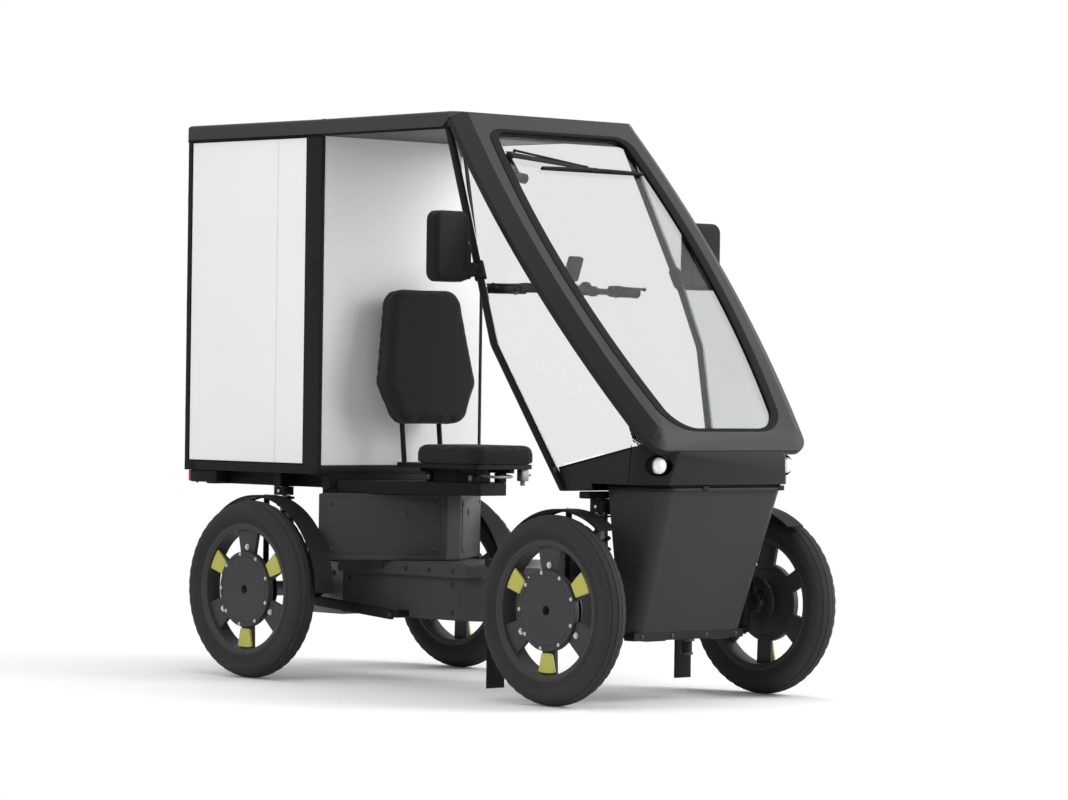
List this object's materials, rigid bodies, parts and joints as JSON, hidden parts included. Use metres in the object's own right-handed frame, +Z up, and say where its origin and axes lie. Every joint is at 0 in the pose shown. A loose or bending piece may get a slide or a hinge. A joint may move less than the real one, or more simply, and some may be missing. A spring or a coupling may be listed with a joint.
{
  "type": "four-wheeled pedal cargo bike with cabin",
  "caption": "Pedal cargo quadricycle with a roofed open-sided cabin, sloping windscreen, tapered nose, single seat and a tall white cargo box with back doors.",
  "frame": {"origin": "centre of the vehicle's outline on the ground, midway between its wheels from side to side", "axes": "+X forward, +Y to the rider's left, +Z up"},
  "size_m": [2.3702, 1.342, 1.9458],
  "materials": {
    "tyre": "matt",
    "rim": "satin",
    "accent": "satin",
    "black_plastic": "matt",
    "body_grey": "satin",
    "frame_black": "satin",
    "box_white": "satin",
    "glass": "clear",
    "mirror": "polished",
    "lamp": "clear",
    "tail_lamp": "gloss",
    "seat": "matt",
    "steel": "satin",
    "grip": "matt"
  },
  "bodies": {
    "vehicle": {"mudguards_rear": "black_plastic", "main_beam": "body_grey", "rear_axle": "frame_black", "front_frame": "frame_black", "front_arms": "frame_black", "front_rail": "black_plastic", "dampers": "frame_black", "box_subframe": "frame_black", "tail_lamps": "tail_lamp", "battery_case": "black_plastic", "seat_housing": "body_grey", "seat_frame": "frame_black", "seat_pad": "seat", "backrest": "seat", "box_frame": "body_grey", "box_wall_right": "box_white", "box_wall_left": "box_white", "box_wall_front": "box_white", "box_floor": "black_plastic", "roof": "body_grey", "windscreen_frame": "body_grey", "windscreen": "glass", "side_tubes": "frame_black", "side_panes": "glass", "nose_upper": "body_grey", "nose_lower": "body_grey", "head_lamps": "lamp", "steering_bearing": "frame_black", "drive_unit": "black_plastic", "mirrors": "black_plastic", "mirror_glasses": "mirror", "wiper": "black_plastic"},
    "steering": {"steering_column": "frame_black", "handlebar": "grip", "display": "black_plastic"},
    "upright_right": {"upright_right": "frame_black", "mudguard_front_right": "black_plastic"},
    "upright_left": {"upright_left": "frame_black", "mudguard_front_left": "black_plastic"},
    "crank": {"crank": "steel"},
    "pedal_right": {"pedal_right": "black_plastic"},
    "pedal_left": {"pedal_left": "black_plastic"},
    "back_door_right": {"back_door_right": "box_white"},
    "back_door_left": {"back_door_left": "box_white"},
    "wheel_rear_right": {"tyre_rear_right": "tyre", "rim_rear_right": "rim", "wheel_accents_rear_right": "accent"},
    "wheel_rear_left": {"tyre_rear_left": "tyre", "rim_rear_left": "rim", "wheel_accents_rear_left": "accent"},
    "wheel_front_right": {"tyre_front_right": "tyre", "rim_front_right": "rim", "wheel_accents_front_right": "accent"},
    "wheel_front_left": {"tyre_front_left": "tyre", "rim_front_left": "rim", "wheel_accents_front_left": "accent"}
  },
  "joints": [
    {"name": "handlebar_turn", "type": "hinge", "parent": "vehicle", "child": "steering", "pos_m": [0.4135, 0, 1.355], "axis": [-0.5882, 0, 0.8087], "range_deg": [-45, 45]},
    {"name": "front_wheel_steer_right", "type": "hinge", "parent": "vehicle", "child": "upright_right", "pos_m": [0.8635, -0.4, 0.309], "axis": [0, 0, 1], "range_deg": [-30, 30]},
    {"name": "front_wheel_steer_left", "type": "hinge", "parent": "vehicle", "child": "upright_left", "pos_m": [0.8635, 0.4, 0.309], "axis": [0, 0, 1], "range_deg": [-30, 30]},
    {"name": "wheel_spin_rear_right", "type": "hinge", "parent": "vehicle", "child": "wheel_rear_right", "pos_m": [-0.6535, -0.495, 0.309], "axis": [0, 1, 0], "continuous": true},
    {"name": "wheel_spin_rear_left", "type": "hinge", "parent": "vehicle", "child": "wheel_rear_left", "pos_m": [-0.6535, 0.495, 0.309], "axis": [0, 1, 0], "continuous": true},
    {"name": "wheel_spin_front_right", "type": "hinge", "parent": "upright_right", "child": "wheel_front_right", "pos_m": [0.8635, -0.495, 0.309], "axis": [0, 1, 0], "continuous": true},
    {"name": "wheel_spin_front_left", "type": "hinge", "parent": "upright_left", "child": "wheel_front_left", "pos_m": [0.8635, 0.495, 0.309], "axis": [0, 1, 0], "continuous": true},
    {"name": "crank_spin", "type": "hinge", "parent": "vehicle", "child": "crank", "pos_m": [0.4265, 0, 0.43], "axis": [0, 1, 0], "continuous": true},
    {"name": "pedal_spin_right", "type": "hinge", "parent": "crank", "child": "pedal_right", "pos_m": [0.2565, -0.142, 0.43], "axis": [0, 1, 0], "continuous": true},
    {"name": "pedal_spin_left", "type": "hinge", "parent": "crank", "child": "pedal_left", "pos_m": [0.5965, 0.142, 0.43], "axis": [0, 1, 0], "continuous": true},
    {"name": "back_door_hinge_right", "type": "hinge", "parent": "vehicle", "child": "back_door_right", "pos_m": [-1.1745, -0.371, 1.3165], "axis": [0, 0, 1], "range_deg": [0, 180]},
    {"name": "back_door_hinge_left", "type": "hinge", "parent": "vehicle", "child": "back_door_left", "pos_m": [-1.1745, 0.371, 1.3165], "axis": [0, 0, -1], "range_deg": [0, 180]}
  ],
  "couplings": [
    {"joint": "front_wheel_steer_right", "follows": "handlebar_turn", "ratio": 0.66},
    {"joint": "front_wheel_steer_left", "follows": "handlebar_turn", "ratio": 0.66}
  ]
}
